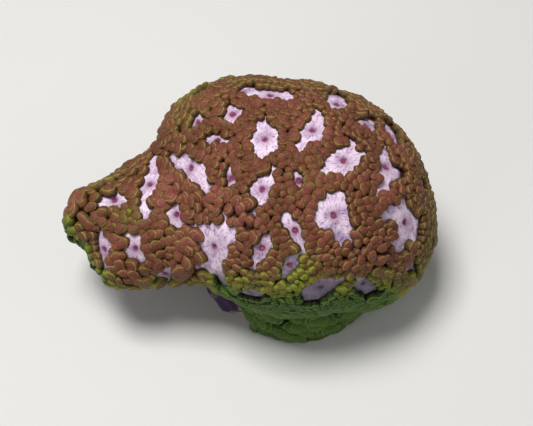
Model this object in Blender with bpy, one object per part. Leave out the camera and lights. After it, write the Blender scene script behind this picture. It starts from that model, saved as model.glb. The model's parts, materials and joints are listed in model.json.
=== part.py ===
"""Brain coral: one living head with a side lobe, standing on the flat cut of its short foot.

The head is one solid. Its form is a blend of egg-shaped swells. Over that form grow fleshy
lumps in rows, and between the rows lie the sunken mouth discs of the polyps.
Lengths are millimetres until the mesh is finished, and metres in the mesh.
"""

import math

import bmesh
import bpy
import numpy as np
from mathutils import Vector

MM = 0.001
SEED = 7

# The swells that blend into the form: centre and radii, measured from the crown's axis
SWELLS = {
    "crown": ((0.0, -0.5, 21.0), (22.5, 21.0, 17.5)),
    "rear": ((-9.0, 7.5, 22.0), (16.0, 12.5, 15.0)),
    "right": ((11.5, -2.5, 15.5), (13.0, 15.0, 12.5)),
    "shoulder": ((-21.0, -3.0, 18.5), (13.5, 12.5, 9.5)),
    "lobe": ((-29.5, -5.5, 16.0), (7.0, 10.0, 7.5)),
    "lobe_tip": ((-34.5, -4.0, 19.5), (6.5, 4.5, 6.5)),
    "foot": ((0.0, -3.0, 3.5), (13.0, 15.5, 12.0)),
    "skirt": ((3.0, -9.0, 7.5), (11.5, 8.0, 9.0)),
    "knob": ((-9.5, -8.0, 3.0), (8.0, 6.5, 6.0)),
}
BLEND = 1.6

# Sight lines from the heart find the form's skin. They are walked in strides, then halved.
HEART = np.array([-4.0, -1.0, 17.0])
REACH = 48.0
STRIDE = 0.75
HALVINGS = 20
SLOPE_STEP = 0.05

# The head is longer than it is deep, so its cells are laid out on a sphere squeezed by this much
SQUEEZE = np.array([0.62, 1.0, 1.0])

# The relief that grows on the form
SKIN_DEPTH = 1.3
LUMP_PITCH = 2.75
LUMP_RISE = 1.65
CREASE_RISE = 0.35
SHOULDER_REACH = 0.6
SHOULDER_DROP = 0.22
DISC_SINK = -0.8
MOUTH_SINK = -1.4
RIM_STANDOFF = 1.6
BARE_PITCH = 3.6
BARE_RISE = 0.6
BARE_BELOW = 1.2
UNDERSIDE = -0.5
RISE_SPREAD = 0.15

# Lumps stand in rows round each disc and fill the rest. Gaps are shares of the pitch.
ROWS = 3
ROW_GAP = 0.82
FILL_GAP = 0.88
FLOOR_GAP = 0.6
FILL_TRIES = 9000

# The front view in which the polyps are placed: 57 degrees above the ground, looking at the crown
VIEW_TILT = math.radians(57.0)
VIEW_DISTANCE = 196.4
VIEW_CENTRE = np.array([0.0, 0.0, 20.0])
STEEPEST = 0.35

# Polyps in that view: across, up, half length, half width, turn of the length in degrees
FRONT_POLYPS = (
    (-5.5, 9.8, 2.9, 2.3, 98),
    (2.5, 11.1, 3.1, 1.7, 50),
    (8.0, 6.1, 3.1, 2.3, 20),
    (6.6, -3.4, 3.9, 2.8, 95),
    (17.9, -5.0, 3.9, 3.1, 75),
    (15.7, 4.5, 4.0, 1.1, 95),
    (-5.9, 1.1, 2.7, 1.7, 75),
    (0.5, 2.5, 1.4, 0.6, 100),
    (-11.4, 3.0, 1.7, 0.6, 90),
    (-18.8, 4.5, 4.2, 1.4, -42),
    (-25.7, 0.9, 4.9, 0.9, 80),
    (-32.1, -0.5, 2.0, 0.8, 20),
    (-34.8, -9.6, 3.3, 1.1, 95),
    (-28.6, -9.3, 2.0, 0.9, -65),
    (-21.1, -3.4, 1.8, 1.2, -55),
    (-14.5, -8.6, 4.5, 2.7, 80),
    (-5.9, -9.1, 2.7, 1.3, 62),
    (0.2, -7.1, 3.6, 1.2, -62),
    (-1.1, -12.1, 2.2, 1.1, 58),
    (4.3, -15.9, 3.3, 1.6, 25),
    (11.8, -15.2, 2.0, 1.3, -30),
    (-4.6, 17.5, 4.3, 1.0, -8),
    (-11.1, 14.3, 1.6, 1.4, 20),
    (7.1, 15.9, 1.6, 1.5, -50),
    (12.3, 12.3, 1.5, 1.0, -25),
    (-13.8, 9.6, 2.1, 0.7, -12),
    (-16.4, 17.7, 1.6, 0.7, 35),
    (-17.3, 12.9, 1.5, 0.7, 60),
    (17.7, 11.1, 1.9, 0.8, -60),
    (20.9, -12.9, 1.3, 0.9, 60),
    (-23.2, -13.4, 1.8, 1.0, 25),
    (-2.3, -21.6, 1.7, 0.9, 0),
)
POLYP_SPACING = 9.5
POLYP_TRIES = 900
LOWEST_POLYP = 5.0
LOWEST_FACING = -0.3
HIDDEN_LENGTH = (1.7, 3.2)
HIDDEN_WIDTH = (0.8, 2.0)

TISSUE_COLOUR = (0.21, 0.09, 0.06, 1.0)
TISSUE_ROUGHNESS = 0.45


def unit(vectors):
    return vectors / np.linalg.norm(vectors, axis=-1, keepdims=True)


def form_distance(points):
    """About how far each point lies outside the bare form under the fleshy skin."""
    total = 0.0
    for centre, radii in SWELLS.values():
        scaled = (points - np.array(centre)) / np.array(radii)
        size = np.linalg.norm(scaled, axis=-1)
        slope = np.linalg.norm(scaled / np.array(radii), axis=-1)
        total = total + np.exp(-size * (size - 1.0) / np.maximum(slope, 1e-9) / BLEND)
    return -BLEND * np.log(total) + SKIN_DEPTH


def form_normal(points):
    slopes = [
        form_distance(points + axis) - form_distance(points - axis)
        for axis in np.eye(3) * SLOPE_STEP
    ]
    return unit(np.stack(slopes, axis=-1))


def crossing(start, heading, inside, outside):
    """Where each line from start passes through the form's skin, between two distances along it."""
    for _ in range(HALVINGS):
        middle = (inside + outside) / 2
        within = form_distance(start + heading * middle[:, None]) < 0
        inside = np.where(within, middle, inside)
        outside = np.where(within, outside, middle)
    return start + heading * inside[:, None]


def on_form(headings):
    """The outermost point of the form in each direction from the heart of the head."""
    furthest = np.zeros(len(headings))
    for step in np.arange(0.0, REACH, STRIDE):
        within = form_distance(HEART + headings * step) < 0
        furthest = np.where(within, step, furthest)
    return crossing(HEART, headings, furthest, furthest + STRIDE)


def heading_to(points):
    return unit(points - HEART)


def is_bare(points):
    """Whether each point lies on the dead rock of the underside and the foot's very edge."""
    return (form_normal(points)[:, 2] < UNDERSIDE) | (points[:, 2] < BARE_BELOW)


def even_headings(count):
    """Directions spread evenly over a sphere, along a golden spiral."""
    index = np.arange(count) + 0.5
    height = 1 - 2 * index / count
    turn = index * math.pi * (3 - math.sqrt(5))
    ring = np.sqrt(1 - height * height)
    return np.stack([ring * np.cos(turn), ring * np.sin(turn), height], axis=-1)


class Polyp:
    """An oval mouth disc: its centre on the form and the two directions that its oval spans."""

    def __init__(self, centre, across, climb, length, width, turn):
        cosine = math.cos(turn)
        sine = math.sin(turn)
        self.centre = centre
        self.long_axis = across * cosine + climb * sine
        self.wide_axis = climb * cosine - across * sine
        self.length = length
        self.width = width

    def at(self, angle, grow):
        """A point of the oval, grown outwards by grow, before it is set down on the form."""
        return (
            self.centre
            + self.long_axis * math.cos(angle) * (self.length + grow)
            + self.wide_axis * math.sin(angle) * (self.width + grow)
        )

    def rim(self, pitch, grow):
        """Points about one pitch apart round the oval."""
        girth = math.pi * (self.length + self.width + 2 * grow)
        count = max(5, round(girth / pitch))
        turns = [2 * math.pi * i / count for i in range(count)]
        return np.array([self.at(turn, grow) for turn in turns])

    def floor(self, pitch):
        """Points along the middle of the oval, the mouth first."""
        spare = max(0.0, self.length - self.width)
        count = math.floor(spare / pitch)
        shifts = [0.0] + [side * (i + 1) * pitch for i in range(count) for side in (1, -1)]
        return np.array([self.centre + unit(self.long_axis) * shift for shift in shifts])


def front_polyps():
    """The polyps seen from the front, set down where the sight lines meet the head."""
    back = np.array([0.0, -math.cos(VIEW_TILT), math.sin(VIEW_TILT)])
    right = np.array([1.0, 0.0, 0.0])
    climb = np.cross(back, right)
    eye = VIEW_CENTRE + back * VIEW_DISTANCE
    made = []
    for across, up, length, width, turn in FRONT_POLYPS:
        sight = unit(VIEW_CENTRE + right * across + climb * up - eye)
        depths = np.arange(VIEW_DISTANCE - REACH, VIEW_DISTANCE + REACH, STRIDE)
        within = form_distance(eye + sight * depths[:, None]) < 0
        if not within.any():
            continue
        first = depths[within.argmax()]
        centre = crossing(eye, sight[None, :], np.array([first]), np.array([first - STRIDE]))
        normal = form_normal(centre)[0]
        facing = max(STEEPEST, float(normal @ back))
        across_skin = right - back * (normal @ right) / facing
        up_skin = climb - back * (normal @ climb) / facing
        made.append(Polyp(centre[0], across_skin, up_skin, length, width, math.radians(turn)))
    return made


def hidden_polyps(known, chance):
    """Polyps on the sides that the front view doesn't show, as far apart as the ones it does."""
    made = list(known)
    for point in on_form(even_headings(POLYP_TRIES)):
        gaps = [np.linalg.norm(point - polyp.centre) for polyp in made]
        normal = form_normal(point[None, :])[0]
        if min(gaps) < POLYP_SPACING or normal[2] < LOWEST_FACING or point[2] < LOWEST_POLYP:
            continue
        across = unit(np.cross(normal, [0.3, 0.2, 0.9]))
        climb = np.cross(normal, across)
        length = chance.uniform(*HIDDEN_LENGTH)
        width = min(length, chance.uniform(*HIDDEN_WIDTH))
        made.append(Polyp(point, across, climb, length, width, chance.uniform(0, math.pi)))
    return made


def spaced(taken, candidates, gaps):
    """Adds each candidate that keeps its gap to every point taken before it."""
    kept = list(taken)
    for point, gap in zip(candidates, gaps):
        if np.linalg.norm(np.array(kept) - point, axis=1).min() >= gap:
            kept.append(point)
    return kept


def growth_points(chance):
    """The centres of the skin's cells, disc floors first, and how far each rises over the form."""
    polyps = hidden_polyps(front_polyps(), chance)
    floors = np.concatenate([polyp.floor(LUMP_PITCH) for polyp in polyps])
    floors = on_form(heading_to(floors))
    points = spaced(floors[:1], floors[1:], np.full(len(floors) - 1, LUMP_PITCH * FLOOR_GAP))
    floor_count = len(points)
    for row in range(ROWS):
        grow = RIM_STANDOFF + LUMP_PITCH * row
        rims = np.concatenate([polyp.rim(LUMP_PITCH, grow) for polyp in polyps])
        rims = on_form(heading_to(rims))
        points = spaced(points, rims, np.full(len(rims), LUMP_PITCH * ROW_GAP))
    fill = on_form(even_headings(FILL_TRIES))
    fill = fill[chance.permutation(len(fill))]
    points = spaced(points, fill, np.where(is_bare(fill), BARE_PITCH, LUMP_PITCH * FILL_GAP))
    points = np.array(points)
    rises = np.where(is_bare(points), BARE_RISE, LUMP_RISE)
    rises = rises * chance.uniform(1 - RISE_SPREAD, 1 + RISE_SPREAD, len(points))
    rises[:floor_count] = MOUTH_SINK
    return points, rises


def cell_mesh(points, rises):
    """A closed mesh with one fan of triangles for each point: raised in its middle, low round its edge."""
    bm = bmesh.new()
    rise_layer = bm.verts.layers.float.new("rise")
    lump_layer = bm.verts.layers.float.new("lump")
    for place, rise in zip(unit(heading_to(points) * SQUEEZE), rises):
        vert = bm.verts.new(Vector(place))
        vert[rise_layer] = rise
        vert[lump_layer] = float(rise > (BARE_RISE + LUMP_RISE) / 2)
    hull = bmesh.ops.convex_hull(bm, input=bm.verts, use_existing_faces=False)
    stray = {v for v in hull["geom_interior"] if isinstance(v, bmesh.types.BMVert)}
    bmesh.ops.delete(bm, geom=list(stray), context="VERTS")
    spans = list(bm.edges)
    corners = bmesh.ops.poke(bm, faces=list(bm.faces))["verts"]
    for corner in corners:
        around = [edge.other_vert(corner)[rise_layer] for edge in corner.link_edges]
        corner[rise_layer] = DISC_SINK if min(around) < 0 else CREASE_RISE
        corner[lump_layer] = 0.0
    bmesh.ops.rotate_edges(bm, edges=spans, use_ccw=False)
    round_lumps(bm, rise_layer, lump_layer)
    return bm, rise_layer


def round_lumps(bm, rise_layer, lump_layer):
    """Gives each lump a ring of shoulders, high and wide, so that it is a pillow and not a spike."""
    spokes = [spoke for vert in bm.verts if vert[lump_layer] == 1.0 for spoke in vert.link_edges]
    bmesh.ops.subdivide_edges(bm, edges=spokes, cuts=1)
    for centre in bm.verts:
        if centre[lump_layer] < 1.0:
            continue
        top = centre[rise_layer]
        for spoke in centre.link_edges:
            shoulder = spoke.other_vert(centre)
            foot_rise = 2 * shoulder[rise_layer] - top
            shoulder[rise_layer] = top + (foot_rise - top) * SHOULDER_DROP
            shoulder.co = centre.co + (shoulder.co - centre.co) * 2 * SHOULDER_REACH


def grow_skin(bm, rise_layer):
    """Carries each vertex from the sphere of directions out to the form, and up by its rise."""
    verts = list(bm.verts)
    places = np.array([tuple(vert.co) for vert in verts])
    grown = on_form(unit(places / SQUEEZE))
    rises = np.array([vert[rise_layer] for vert in verts])
    grown = grown + form_normal(grown) * rises[:, None]
    for vert, place in zip(verts, grown * MM):
        vert.co = place


def cut_foot(bm):
    """Saws the head off flat at the ground and closes the cut."""
    everything = list(bm.verts) + list(bm.edges) + list(bm.faces)
    sawn = bmesh.ops.bisect_plane(
        bm, geom=everything, dist=1e-7, plane_co=(0, 0, 0), plane_no=(0, 0, 1), clear_inner=True
    )
    rim = [edge for edge in sawn["geom_cut"] if isinstance(edge, bmesh.types.BMEdge)]
    bmesh.ops.contextual_create(bm, geom=rim)
    bmesh.ops.triangulate(bm, faces=list(bm.faces))
    bmesh.ops.recalc_face_normals(bm, faces=list(bm.faces))


def stand_over_origin(bm):
    """Moves the head sideways until the middle of its box is over the origin."""
    places = np.array([tuple(vert.co) for vert in bm.verts])
    middle = (places.min(axis=0) + places.max(axis=0)) / 2
    bmesh.ops.translate(bm, verts=list(bm.verts), vec=(-middle[0], -middle[1], 0))
    print("crown axis at", (-middle[:2] / MM).round(3))


def tissue_material():
    material = bpy.data.materials.new("coral_tissue")
    material.use_nodes = True
    shader = material.node_tree.nodes["Principled BSDF"]
    shader.inputs["Base Color"].default_value = TISSUE_COLOUR
    shader.inputs["Roughness"].default_value = TISSUE_ROUGHNESS
    shader.inputs["Metallic"].default_value = 0.0
    return material


def coral_head():
    chance = np.random.default_rng(SEED)
    bm, rise_layer = cell_mesh(*growth_points(chance))
    grow_skin(bm, rise_layer)
    cut_foot(bm)
    stand_over_origin(bm)
    mesh = bpy.data.meshes.new("coral_head")
    bm.to_mesh(mesh)
    bm.free()
    mesh.materials.append(tissue_material())
    head = bpy.data.objects.new("coral_head", mesh)
    bpy.context.scene.collection.objects.link(head)
    return head


for old in list(bpy.data.objects):
    bpy.data.objects.remove(old, do_unlink=True)
head = coral_head()
print("triangles", len(head.data.polygons))
print("size in mm", [round(length / MM, 2) for length in head.dimensions])
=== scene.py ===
# %% [markdown]
# Brain coral. This notebook dresses a living coral head: a stony skeleton under a skin of swollen
# flesh. The flesh stands up in pillow-like lumps, and between their rows lie the mouth discs of the
# polyps, pale and striped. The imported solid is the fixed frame, and a body with its lumps is made in
# its place. Lengths are millimetres while they are shaped. The finished meshes are in metres.

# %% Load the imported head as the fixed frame
import json
import math

import bmesh
import bpy
import numpy as np
from mathutils import Matrix, Vector, kdtree

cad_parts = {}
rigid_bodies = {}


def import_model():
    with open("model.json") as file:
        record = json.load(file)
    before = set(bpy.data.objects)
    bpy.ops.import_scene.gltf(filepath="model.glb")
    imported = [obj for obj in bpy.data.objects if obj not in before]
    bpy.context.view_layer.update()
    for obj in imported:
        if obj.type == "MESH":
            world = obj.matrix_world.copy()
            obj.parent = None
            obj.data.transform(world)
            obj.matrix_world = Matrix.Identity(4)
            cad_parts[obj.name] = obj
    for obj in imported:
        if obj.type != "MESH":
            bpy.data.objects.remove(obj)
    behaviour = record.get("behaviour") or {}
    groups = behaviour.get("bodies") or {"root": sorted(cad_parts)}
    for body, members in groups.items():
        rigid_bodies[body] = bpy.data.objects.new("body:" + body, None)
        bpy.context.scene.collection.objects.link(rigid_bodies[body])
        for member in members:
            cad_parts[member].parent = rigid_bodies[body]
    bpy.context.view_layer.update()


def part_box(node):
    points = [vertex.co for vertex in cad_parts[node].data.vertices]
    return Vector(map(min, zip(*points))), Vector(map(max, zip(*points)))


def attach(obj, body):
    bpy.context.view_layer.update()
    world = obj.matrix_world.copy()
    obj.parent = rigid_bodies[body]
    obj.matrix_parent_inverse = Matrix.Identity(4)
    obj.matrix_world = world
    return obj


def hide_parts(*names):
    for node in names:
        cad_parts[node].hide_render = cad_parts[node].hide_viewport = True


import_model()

MM = 0.001
chance = np.random.default_rng(11)
head_low, head_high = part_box("coral_head")
print("packed head, mm:", [round(length / MM, 1) for length in head_high - head_low])

# %% [markdown]
# The bare form comes first. On the real coral it is the outline that the skeleton grew into: a
# crown with a lobe out to one side, an undercut front and a narrow foot. A sum of smooth swells
# gives such a form without seams, and it can be asked for its surface and its slope anywhere.
# Modelling it by hand would be as good, but then nothing could be planted on it by rule.

# %% The swells that blend into the form
SWELLS = {
    "crown": ((0.0, -0.5, 21.0), (22.5, 21.0, 17.5)),
    "rear": ((-9.0, 7.5, 22.0), (16.0, 12.5, 15.0)),
    "right": ((11.5, -2.5, 15.5), (13.0, 15.0, 12.5)),
    "shoulder": ((-21.0, -3.0, 18.5), (13.5, 12.5, 9.5)),
    "lobe": ((-29.5, -5.5, 16.0), (7.0, 10.0, 7.5)),
    "lobe_tip": ((-34.5, -4.0, 19.5), (6.5, 4.5, 6.5)),
    "foot": ((0.0, -3.0, 3.5), (13.0, 15.5, 12.0)),
    "skirt": ((3.0, -9.0, 7.5), (11.5, 8.0, 9.0)),
    "knob": ((-9.5, -8.0, 3.0), (8.0, 6.5, 6.0)),
}
BLEND = 1.6
SKIN_DEPTH = 1.3
CROWN_AXIS = np.array([8.12, 0.31, 0.0])
HEART = np.array([-4.0, -1.0, 17.0])
SQUEEZE = np.array([0.62, 1.0, 1.0])
REACH = 48.0
STRIDE = 0.75
HALVINGS = 18
SLOPE_STEP = 0.05
UPWARDS = np.array([0.0, 0.0, 1.0])


def unit(vectors):
    return vectors / np.linalg.norm(vectors, axis=-1, keepdims=True)


def smooth(low, high, values):
    """Rises from 0 at low to 1 at high, with soft ends."""
    share = np.clip((values - low) / (high - low), 0.0, 1.0)
    return share * share * (3 - 2 * share)


def form_distance(points):
    """About how far each point lies outside the bare form under the fleshy skin."""
    total = 0.0
    for centre, radii in SWELLS.values():
        scaled = (points - np.array(centre)) / np.array(radii)
        size = np.linalg.norm(scaled, axis=-1)
        slope = np.linalg.norm(scaled / np.array(radii), axis=-1)
        total = total + np.exp(-size * (size - 1.0) / np.maximum(slope, 1e-9) / BLEND)
    return -BLEND * np.log(total) + SKIN_DEPTH


def form_normal(points):
    slopes = [
        form_distance(points + axis) - form_distance(points - axis)
        for axis in np.eye(3) * SLOPE_STEP
    ]
    return unit(np.stack(slopes, axis=-1))


def crossing(start, heading, inside, outside):
    """Where each line from start passes through the form's skin, between two distances along it."""
    for _ in range(HALVINGS):
        middle = (inside + outside) / 2
        within = form_distance(start + heading * middle[:, None]) < 0
        inside = np.where(within, middle, inside)
        outside = np.where(within, outside, middle)
    return start + heading * inside[:, None]


def on_form(headings):
    """The outermost point of the form in each direction from the heart of the head."""
    furthest = np.zeros(len(headings))
    for step in np.arange(0.0, REACH, STRIDE):
        within = form_distance(HEART + headings * step) < 0
        furthest = np.where(within, step, furthest)
    return crossing(HEART, headings, furthest, furthest + STRIDE)


def onto_form(points):
    """Sets points down on the form, along their lines from the heart."""
    return on_form(unit(points - HEART))


def even_headings(count):
    """Directions spread evenly over a sphere, along a golden spiral."""
    index = np.arange(count) + 0.5
    height = 1 - 2 * index / count
    turn = index * math.pi * (3 - math.sqrt(5))
    ring = np.sqrt(1 - height * height)
    return np.stack([ring * np.cos(turn), ring * np.sin(turn), height], axis=-1)


form_sample = on_form(even_headings(2000))
print("form, mm:", np.ptp(form_sample, axis=0).round(1))

# %% [markdown]
# The camera stands where the photograph was taken from, about 57 degrees above the ground. It is
# set up now because the same view places the polyps: each was read off the photograph as a place,
# a size and a turn in millimetres, and a sight line carries it onto the form.

# %% The view
VIEW_TILT = math.radians(57.0)
VIEW_DISTANCE = 196.4
VIEW_CENTRE = np.array([0.0, 0.0, 20.0])
FOCAL_PIXELS = 1100.0
PHOTO_WIDTH = 533
PHOTO_HEIGHT = 426
CENTRE_PIXEL = (296, 196)
SENSOR = 36.0
NEAR_CLIP = 0.01
view_back = np.array([0.0, -math.cos(VIEW_TILT), math.sin(VIEW_TILT)])
view_right = np.array([1.0, 0.0, 0.0])
view_climb = np.cross(view_back, view_right)
view_eye = VIEW_CENTRE + view_back * VIEW_DISTANCE


def add_object(name, data):
    made = bpy.data.objects.new(name, data)
    bpy.context.scene.collection.objects.link(made)
    return made


def make_camera():
    data = bpy.data.cameras.new("camera")
    data.sensor_width = SENSOR
    data.lens = SENSOR * FOCAL_PIXELS / PHOTO_WIDTH
    data.shift_x = (PHOTO_WIDTH / 2 - CENTRE_PIXEL[0]) / PHOTO_WIDTH
    data.shift_y = (CENTRE_PIXEL[1] - PHOTO_HEIGHT / 2) / PHOTO_WIDTH
    data.clip_start = NEAR_CLIP
    camera = add_object("camera", data)
    camera.location = Vector((view_eye + CROWN_AXIS) * MM)
    camera.rotation_euler = (math.pi / 2 - VIEW_TILT, 0.0, 0.0)
    bpy.context.scene.camera = camera
    print("camera at, mm:", (view_eye + CROWN_AXIS).round(1))


make_camera()

# %% [markdown]
# Polyps. Each one is an oval mouth disc, sunken between the lumps. The discs that the photograph
# shows are listed as they were read off it. The hidden sides get more of them by rule,
# as far apart as the ones in view, so that the coral is whole from every side.

# %% The polyps that the photograph shows
# Across, up, half length, half width, turn of the length in degrees
FRONT_POLYPS = (
    (-5.5, 9.9, 2.6, 2.2, 98),
    (2.9, 11.4, 2.6, 1.8, 55),
    (8.3, 6.1, 2.9, 2.2, 40),
    (6.6, -3.4, 3.9, 2.6, 95),
    (19.0, -4.6, 3.4, 1.7, 100),
    (15.6, 5.0, 3.6, 1.0, 95),
    (-5.9, 1.1, 2.6, 1.5, 75),
    (0.5, 2.5, 1.4, 0.6, 100),
    (-11.4, 3.0, 1.7, 0.6, 90),
    (-18.4, 4.8, 3.9, 1.8, -42),
    (-25.9, 1.8, 4.9, 1.5, 80),
    (-32.3, -0.9, 2.0, 0.9, 8),
    (-33.9, -9.4, 3.0, 1.0, 98),
    (-28.5, -9.2, 2.5, 1.4, -65),
    (-21.1, -3.4, 2.2, 1.6, -55),
    (-14.3, -8.8, 3.7, 2.5, 80),
    (-5.9, -9.1, 2.5, 1.3, 62),
    (-0.2, -6.1, 2.9, 1.1, -60),
    (-1.1, -12.1, 2.0, 1.1, 58),
    (4.3, -15.9, 3.1, 1.5, 25),
    (11.8, -15.2, 2.0, 1.3, -30),
    (-4.6, 17.5, 4.3, 1.0, -8),
    (-11.1, 14.3, 1.6, 1.3, 20),
    (7.1, 15.9, 1.6, 1.4, -50),
    (12.3, 12.3, 1.4, 1.0, -25),
    (-13.8, 9.6, 2.1, 0.7, -12),
    (-16.4, 17.7, 1.6, 0.7, 35),
    (-17.3, 12.9, 1.5, 0.7, 60),
    (16.5, 10.4, 1.9, 0.8, -60),
    (19.8, -12.2, 1.3, 0.9, 60),
    (-23.2, -13.4, 1.7, 1.0, 25),
    (-2.3, -21.6, 1.7, 0.9, 0),
)
# Arms that lead off from some of them, listed the same way
FRONT_ARMS = (
    (-5.9, 7.6, 1.5, 1.0, 60),
    (1.2, 8.8, 1.7, 0.7, 50),
    (6.0, 4.6, 1.7, 0.9, 15),
    (16.3, -2.8, 2.2, 0.9, 30),
    (18.2, -8.2, 1.7, 0.9, 70),
    (14.6, 1.2, 1.6, 0.6, 65),
    (17.0, 3.6, 1.1, 0.8, 20),
    (-21.4, 6.7, 1.5, 0.7, 10),
    (-15.9, 2.0, 1.7, 0.8, -62),
    (-26.3, -3.1, 1.0, 0.9, 0),
    (-31.0, 0.4, 1.2, 0.5, 80),
    (-11.9, -7.0, 1.7, 1.1, 60),
    (-16.6, -11.6, 1.7, 0.9, 30),
    (-12.9, -13.6, 1.9, 0.7, 98),
    (-17.2, -5.3, 1.5, 0.7, -25),
    (1.0, -9.0, 1.5, 0.7, 75),
)
print(len(FRONT_POLYPS), "polyps and", len(FRONT_ARMS), "arms read off the photograph")

# %% [markdown]
# An oval lies on the form and can say how far inside or outside it a point is. Where the form slants
# away from the view, the oval is stretched along the slope, so it still shows at the size that was
# read. Its outline wavers, because no two mouths are alike.

# %% The oval of one polyp
STEEPEST = 0.35
RIM_STEPS = 361
FEWEST_ON_RIM = 5
# A little more than a full turn, in radians
ANY_TURN = 7

# Each oval's outline wavers: how many waves go round it, and how high they are at most
WAVES = ((2, 0.12), (3, 0.12), (5, 0.08))
# A disc ends where the form bends this far off its plane
FLATNESS = 1.5


class Polyp:
    """An oval mouth disc on the form, as long and wide as it shows along two sight axes."""

    def __init__(self, centre, sights, facing, size):
        length, width, degrees = size
        turn = math.radians(degrees)
        self.centre = centre
        self.normal = form_normal(centre[None, :])[0]
        self.long_sight = sights[0] * math.cos(turn) + sights[1] * math.sin(turn)
        self.wide_sight = sights[1] * math.cos(turn) - sights[0] * math.sin(turn)
        lean = max(STEEPEST, float(self.normal @ facing))
        self.long_axis = self.long_sight - facing * (self.normal @ self.long_sight) / lean
        self.wide_axis = self.wide_sight - facing * (self.normal @ self.wide_sight) / lean
        self.length = length
        self.width = width
        self.waves = [
            (count, chance.uniform(0, high), chance.uniform(0, ANY_TURN)) for count, high in WAVES
        ]
        self.mouth = self

    def waver(self, turns):
        """How far the outline swings out at each turn round the oval."""
        return 1 + sum(high * np.cos(count * turns + start) for count, high, start in self.waves)

    def near(self, points, reach):
        """Which points lie within so many half lengths, and a margin, of the centre."""
        lengths, margin = reach
        return np.linalg.norm(points - self.centre, axis=1) < self.length * lengths + margin

    def ovalness(self, points):
        """0 at the centre and 1 on the outline."""
        offsets = points - self.centre
        along = offsets @ self.long_sight / self.length
        aside = offsets @ self.wide_sight / self.width
        beyond = np.maximum(np.abs(offsets @ self.normal) - FLATNESS, 0.0)
        return np.sqrt(along * along + aside * aside) / self.waver(np.arctan2(aside, along)) + beyond

    def rim(self, pitch, standoff):
        """Points about one pitch apart round the oval, a standoff outside it, and their outward ways."""
        turns = np.linspace(0.0, 2 * math.pi, RIM_STEPS)[:, None]
        edge = self.long_axis * self.length * np.cos(turns) + self.wide_axis * self.width * np.sin(turns)
        edge = edge * self.waver(turns)
        outward = unit(np.cross(np.gradient(edge, axis=0), self.normal))
        outward = outward * np.sign((outward * edge).sum(axis=1, keepdims=True))
        ring = edge + outward * standoff
        strides = np.linalg.norm(np.diff(ring, axis=0), axis=1)
        girth = np.concatenate([[0.0], np.cumsum(strides)])
        count = max(FEWEST_ON_RIM, round(girth[-1] / pitch))
        picked = np.searchsorted(girth, (np.arange(count) + chance.uniform()) * girth[-1] / count)
        picked = np.minimum(picked, len(ring) - 1)
        return self.centre + ring[picked], outward[picked]

    def spine_way(self, points):
        """How far outside the oval each point is, and the way to it from the oval's long middle line."""
        reach = self.long_axis * max(0.0, 1 - self.width / self.length) * self.length
        offsets = points - self.centre
        share = np.clip(offsets @ reach / max(float(reach @ reach), 1e-6), -1.0, 1.0)
        ways = offsets - share[:, None] * reach
        return np.linalg.norm(ways, axis=1) - self.width, ways


print("outlines waver by up to", round(sum(high for _, high in WAVES), 2))

# %% Set the listed ovals down, then add the hidden ones
POLYP_SPACING = 9.0
POLYP_TRIES = 900
LOWEST_POLYP = 5.0
LOWEST_FACING = -0.3
HIDDEN_LENGTH = (1.7, 3.3)
HIDDEN_WIDTH = (0.8, 2.1)
SLANT = (0.3, 0.2, 0.9)


def set_down(listed):
    """Ovals seen from the front, set down where the sight lines meet the head."""
    made = []
    for across, up, *size in listed:
        sight = unit(VIEW_CENTRE + view_right * across + view_climb * up - view_eye)
        depths = np.arange(VIEW_DISTANCE - REACH, VIEW_DISTANCE + REACH, STRIDE)
        within = form_distance(view_eye + sight * depths[:, None]) < 0
        first = depths[within.argmax()]
        centre = crossing(view_eye, sight[None, :], np.array([first]), np.array([first - STRIDE]))[0]
        made.append(Polyp(centre, (view_right, view_climb), view_back, size))
    return made


def hidden_polyps(known):
    """Polyps on the sides that the front view doesn't show."""
    made = []
    for point in on_form(even_headings(POLYP_TRIES)):
        gaps = [np.linalg.norm(point - polyp.centre) for polyp in known + made]
        normal = form_normal(point[None, :])[0]
        if min(gaps) < POLYP_SPACING or normal[2] < LOWEST_FACING or point[2] < LOWEST_POLYP:
            continue
        across = unit(np.cross(normal, SLANT))
        length = chance.uniform(*HIDDEN_LENGTH)
        width = min(length, chance.uniform(*HIDDEN_WIDTH))
        sights = (across, np.cross(normal, across))
        made.append(Polyp(point, sights, normal, (length, width, chance.uniform(0, 180))))
    return made


shown = set_down(FRONT_POLYPS)
arms = set_down(FRONT_ARMS)
mouths = shown + hidden_polyps(shown)
for arm in arms:
    arm.mouth = min(mouths, key=lambda polyp: np.linalg.norm(polyp.centre - arm.centre))
polyps = mouths + arms
print(len(shown), "polyps in view,", len(mouths) - len(shown), "hidden, and", len(arms), "arms")

# %% [markdown]
# The flesh isn't alike all over. It is swollen in patches, and low on the front it hangs in folds.
# It leaves bare the underside and most of the foot, with a frayed edge. Each of these is a number
# that fades over the form, so that the lumps and the finish can both read it.

# %% How the flesh grows, and where it ends
# A pair fades in from its first number to its second
FOLDS_BELOW = (17.5, 13.5)
FOLD_FRONT = (3.0, 0.0)
FOLD_LEFT = (-16.0, -12.0)
FOLD_GROWTH = 0.85
KNOB_SHARE = 1.12
UNDERSIDE = (-0.35, -0.55)
UNDERSIDE_FRAY = 0.08
FOOT_TOP = (8.5, 7.5)
FOOT_BACK = (-1.0, 1.0)
FOOT_LEFT = (-7.5, -9.5)
GROUND = (0.9, 0.3)
RAGGED = 1.6
# The waves of the ragged edge: how many go round the foot, how high, where they start
FRAYS = ((5, 1.0, 1.0), (11, 0.6, 0.0), (23, 0.4, 2.0))

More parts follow.
